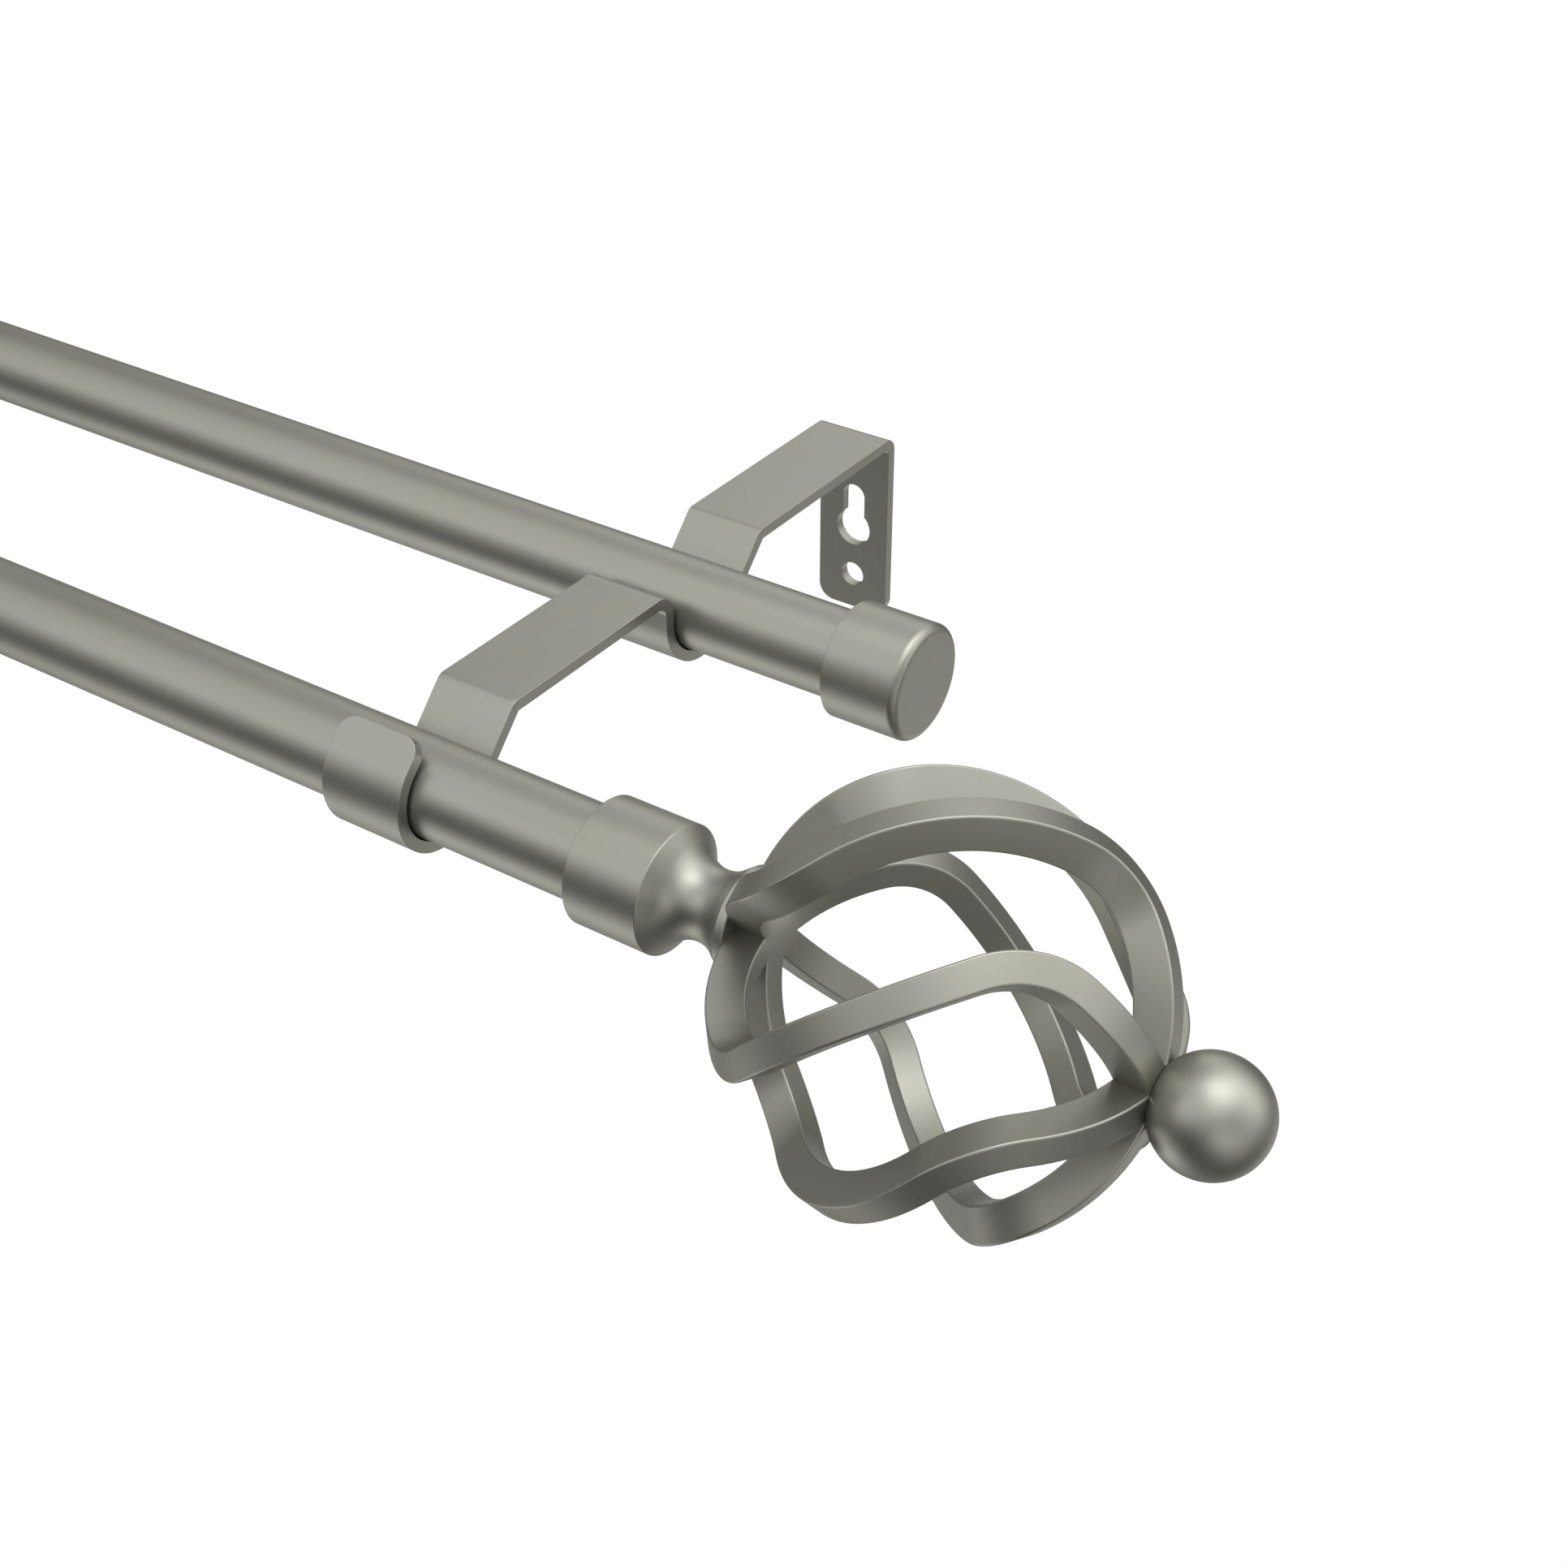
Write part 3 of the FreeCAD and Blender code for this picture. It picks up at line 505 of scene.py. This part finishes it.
def bar_rings(start_angle, hand):
    """Sections of one bar along its route, about the cage's centre; a hand of -1 mirrors them."""
    route = bar_route(start_angle)
    w, d = BAR_WIDTH / 2, BAR_DEPTH / 2
    section = rounded([(-w, -d, BAR_EDGE), (w, -d, BAR_EDGE), (w, d, BAR_EDGE), (-w, d, BAR_EDGE)])
    first_normal, near_pole = route[0][:2]
    ring = [first_normal * (hand * u) + near_pole * (CAGE_RADIUS + v) for u, v in section]
    rings = [ring]
    for normal, start, end in route:
        flat_start = start - normal * start.dot(normal)
        flat_end = end - normal * end.dot(normal)
        angle = math.atan2(flat_start.cross(flat_end).dot(normal), flat_start.dot(flat_end))
        steps = math.ceil(abs(math.degrees(angle)) / BAR_STEP)
        step = Matrix.Rotation(angle / steps, 3, normal)
        for n in range(steps):
            ring = [step @ point for point in ring]
            rings.append(ring)
    return rings


def make_loop(number):
    """Two opposite bars as one closed loop, so that they run into each other at both poles."""
    start_angle = BAR_START + 360 * number / BAR_COUNT
    half_turn = Matrix.Rotation(math.pi, 3, "X")
    back = [[half_turn @ point for point in ring] for ring in bar_rings(start_angle, -1)]
    rings = bar_rings(start_angle, 1)[:-1] + back[:0:-1]
    count = len(rings[0])
    swell = 1 + LOOP_SWELL * number
    points = [point * swell + Vector((CAGE_CENTRE, 0, 0)) for ring in rings for point in ring]
    faces = []
    for r in range(len(rings)):
        after = (r + 1) % len(rings)
        for n in range(count):
            m = (n + 1) % count
            faces.append((r * count + m, r * count + n, after * count + n, after * count + m))
    return new_object("loop", points, faces)


def make_cage(side):
    """Three loops of bars in one, cut to the flange and the ball and bored at both poles."""
    piece = make_loop(0)
    piece.name = "cage_bars_" + side
    carve(piece, "UNION", [make_loop(number) for number in range(1, BAR_COUNT // 2)])
    spare = lathe("spare", [(0, 0), (0, CAGE_RADIUS), (FLANGE_FACE, CAGE_RADIUS), (FLANGE_FACE, 0)],
                  SPARE_SIDES)
    neck_hole = lathe("neck_hole", [(FLANGE_FACE - OVERCUT, 0), (FLANGE_FACE - OVERCUT, STUD_HOLE),
                                    (HUB_HOLE_END, STUD_HOLE), (HUB_HOLE_END, 0)], HOLE_SIDES)
    ball_hole = lathe("ball_hole", [(FAR_HUB_HOLE_END, 0), (FAR_HUB_HOLE_END, STUD_HOLE),
                                    (BALL_CENTRE, STUD_HOLE), (BALL_CENTRE, 0)], HOLE_SIDES)
    seat = lathe("seat", arc((BALL_CENTRE, 0), BALL_SEAT, 180, 0, SEAT_STEPS), SEAT_SIDES)
    carve(piece, "DIFFERENCE", [spare, neck_hole, ball_hole, seat])
    finish_piece(piece, "finial_cage_" + side, "cage_nickel", end_place(side, FRONT_ROD_Y))


def make_camera():
    """Camera that looks at the set as the photograph does."""
    data = bpy.data.cameras.new("camera")
    data.sensor_width = SENSOR_WIDTH
    data.lens = FOCAL_PIXELS * SENSOR_WIDTH / IMAGE_PIXELS
    data.clip_start = CLIP_NEAR
    data.clip_end = CLIP_FAR
    camera = add_object("camera", data)
    back = Vector((math.sin(CAMERA_AZIMUTH) * math.cos(CAMERA_ELEVATION),
                   -math.cos(CAMERA_AZIMUTH) * math.cos(CAMERA_ELEVATION),
                   math.sin(CAMERA_ELEVATION)))
    camera.location = CAMERA_PLACE
    camera.rotation_mode = "QUATERNION"
    camera.rotation_quaternion = (-back).to_track_quat("-Z", "Y")
    bpy.context.scene.camera = camera


class Nodes:
    """Shorthand for building a node tree."""

    def __init__(self, tree):
        self.tree = tree
        tree.nodes.clear()

    def add(self, kind, **settings):
        """New node of that kind, with its settings."""
        node = self.tree.nodes.new(kind)
        for name, setting in settings.items():
            setattr(node, name, setting)
        return node

    def link(self, output, target):
        self.tree.links.new(output, target)

    def maths(self, operation, *terms):
        """Output of a math node; a term is a number or another node's output."""
        node = self.add("ShaderNodeMath", operation=operation)
        for socket, term in zip(node.inputs, terms):
            if isinstance(term, (int, float)):
                socket.default_value = term
            else:
                self.link(term, socket)
        return node.outputs["Value"]

    def noise(self, place, scale, detail):
        """Output of a noise texture, from 0 to 1."""
        node = self.add("ShaderNodeTexNoise")
        node.inputs["Scale"].default_value = scale
        node.inputs["Detail"].default_value = detail
        self.link(place, node.inputs["Vector"])
        return node.outputs["Fac"]


def direction(azimuth, elevation):
    """Unit vector from two angles in degrees; azimuth from +X towards +Y."""
    a, e = math.radians(azimuth), math.radians(elevation)
    return (math.cos(a) * math.cos(e), math.sin(a) * math.cos(e), math.sin(e))


def make_world():
    """World that is white to the camera, and lights the set with the studio's lamps."""
    world = bpy.data.worlds.new("studio")
    world.use_nodes = True
    bpy.context.scene.world = world
    n = Nodes(world.node_tree)
    where = n.add("ShaderNodeTexCoord").outputs["Generated"]
    total = None
    for azimuth, elevation, sharpness, strength in LAMPS.values():
        towards = n.add("ShaderNodeVectorMath", operation="DOT_PRODUCT")
        n.link(where, towards.inputs[0])
        towards.inputs[1].default_value = direction(azimuth, elevation)
        power = n.maths("MULTIPLY_ADD", towards.outputs["Value"], sharpness, -sharpness)
        glow = n.maths("EXPONENT", power)
        total = n.maths("MULTIPLY_ADD", glow, strength, 0.0 if total is None else total)
    studio = n.add("ShaderNodeBackground")
    studio.inputs["Color"].default_value = LAMP_COLOUR
    n.link(total, studio.inputs["Strength"])
    white = n.add("ShaderNodeBackground")
    white.inputs["Color"].default_value = WHITE
    white.inputs["Strength"].default_value = 1.0
    path = n.add("ShaderNodeLightPath")
    mix = n.add("ShaderNodeMixShader")
    n.link(path.outputs["Is Camera Ray"], mix.inputs["Fac"])
    n.link(studio.outputs["Background"], mix.inputs[1])
    n.link(white.outputs["Background"], mix.inputs[2])
    out = n.add("ShaderNodeOutputWorld")
    n.link(mix.outputs["Shader"], out.inputs["Surface"])


def axis_distance(n, parts):
    """Distance from the nearer rod's axis."""
    height = n.maths("SUBTRACT", parts.outputs["Z"], ROD_HEIGHT * MM)
    reaches = []
    for rod_y in (FRONT_ROD_Y, BACK_ROD_Y):
        aside = n.maths("SUBTRACT", parts.outputs["Y"], rod_y * MM)
        squares = n.maths("MULTIPLY_ADD", aside, aside, n.maths("MULTIPLY", height, height))
        reaches.append(n.maths("SQRT", squares))
    return n.maths("MINIMUM", reaches[0], reaches[1])


def grain_place(n, where, course):
    """Coordinates in which the marks of the metal's making run along one axis."""
    if course == "turned":
        parts = n.add("ShaderNodeSeparateXYZ")
        n.link(where, parts.inputs["Vector"])
        joined = n.add("ShaderNodeCombineXYZ")
        n.link(parts.outputs["X"], joined.inputs["X"])
        n.link(axis_distance(n, parts), joined.inputs["Y"])
        return joined.outputs["Vector"]
    scaled = n.add("ShaderNodeVectorMath", operation="MULTIPLY")
    n.link(where, scaled.inputs[0])
    scaled.inputs[1].default_value = GRAIN[course]
    return scaled.outputs["Vector"]


def plated_metal(name, colour, roughness, course):
    """Satin metal: plating that varies a little, and fine marks of how the part was made."""
    material = bpy.data.materials.new(name)
    material.use_nodes = True
    n = Nodes(material.node_tree)
    shader = n.add("ShaderNodeBsdfPrincipled")
    shader.inputs["Metallic"].default_value = 1.0
    shader.inputs["Specular Tint"].default_value = EDGE_TINT
    where = n.add("ShaderNodeTexCoord").outputs["Object"]
    marks_place = grain_place(n, where, course)
    cloud = n.noise(where, CLOUD_SCALE, SOFT_DETAIL)
    smudge = n.noise(where, SMUDGE_SCALE, SHARP_DETAIL)
    marks = n.noise(marks_place, MARK_SCALE, SHARP_DETAIL)
    fine = n.noise(marks_place, FINE_SCALE, SOFT_DETAIL)

    shade = n.maths("MULTIPLY_ADD", cloud, CLOUD_SHADE, 1 - (CLOUD_SHADE + MARK_SHADE) / 2)
    shade = n.maths("MULTIPLY_ADD", marks, MARK_SHADE, shade)
    hue = n.add("ShaderNodeVectorMath", operation="MULTIPLY_ADD")
    n.link(n.noise(where, WARM_SCALE, SOFT_DETAIL), hue.inputs[0])
    hue.inputs[1].default_value = WARM_DRIFT
    hue.inputs[2].default_value = Vector(colour) - Vector(WARM_DRIFT) / 2
    tint = n.add("ShaderNodeVectorMath", operation="SCALE")
    n.link(hue.outputs["Vector"], tint.inputs[0])
    n.link(shade, tint.inputs["Scale"])
    n.link(tint.outputs["Vector"], shader.inputs["Base Color"])

    rough = n.maths("MULTIPLY_ADD", smudge, SMUDGE_ROUGH, roughness - (SMUDGE_ROUGH + MARK_ROUGH) / 2)
    rough = n.maths("MULTIPLY_ADD", marks, MARK_ROUGH, rough)
    n.link(rough, shader.inputs["Roughness"])

    height = n.maths("MULTIPLY_ADD", fine, FINE_SHARE, marks)
    bump = n.add("ShaderNodeBump")
    bump.inputs["Strength"].default_value = BUMP_STRENGTH
    bump.inputs["Distance"].default_value = BUMP_DEPTH
    n.link(height, bump.inputs["Height"])
    n.link(bump.outputs["Normal"], shader.inputs["Normal"])
    out = n.add("ShaderNodeOutputMaterial")
    n.link(shader.outputs["BSDF"], out.inputs["Surface"])
    return material


def make_floor():
    """Pale floor sheet that fills the picture behind the object."""
    ahead = Vector((-math.sin(CAMERA_AZIMUTH), math.cos(CAMERA_AZIMUTH), 0))
    aside = Vector((ahead.y, -ahead.x, 0))
    foot = Vector((CAMERA_PLACE.x, CAMERA_PLACE.y, FLOOR_HEIGHT))
    edges = ((FLOOR_NEAR, -1), (FLOOR_NEAR, 1), (FLOOR_FAR, 1), (FLOOR_FAR, -1))
    corners = [foot + ahead * reach + aside * (hand * half) for (reach, half), hand in edges]
    mesh = bpy.data.meshes.new("floor")
    mesh.from_pydata(corners, [], [(0, 1, 2, 3)])
    floor = add_object("floor", mesh)
    material = bpy.data.materials.new("floor")
    material.use_nodes = True
    n = Nodes(material.node_tree)
    pale = n.add("ShaderNodeBsdfDiffuse")
    pale.inputs["Color"].default_value = FLOOR_COLOUR
    white = n.add("ShaderNodeEmission")
    white.inputs["Color"].default_value = WHITE
    white.inputs["Strength"].default_value = 1.0
    path = n.add("ShaderNodeLightPath")
    seen = n.maths("MAXIMUM", path.outputs["Is Camera Ray"], path.outputs["Is Glossy Ray"])
    seen = n.maths("MAXIMUM", seen, path.outputs["Is Transmission Ray"])
    mix = n.add("ShaderNodeMixShader")
    n.link(seen, mix.inputs["Fac"])
    n.link(pale.outputs["BSDF"], mix.inputs[1])
    n.link(white.outputs["Emission"], mix.inputs[2])
    out = n.add("ShaderNodeOutputMaterial")
    n.link(mix.outputs["Shader"], out.inputs["Surface"])
    mesh.materials.append(material)


make_camera()
make_world()
make_floor()
finishes = {name: plated_metal(name, *look) for name, look in FINISHES.items()}
for part in frame["record"]["subparts"]:
    piece = frame["nodes"][part["node"]]
    for slot in piece.material_slots:
        slot.material = finishes[part["material_slot"]]
for side in ("right", "left"):
    make_bracket(side)
    make_collar(side)
    make_cage(side)

bpy.context.scene.view_settings.view_transform = "Standard"
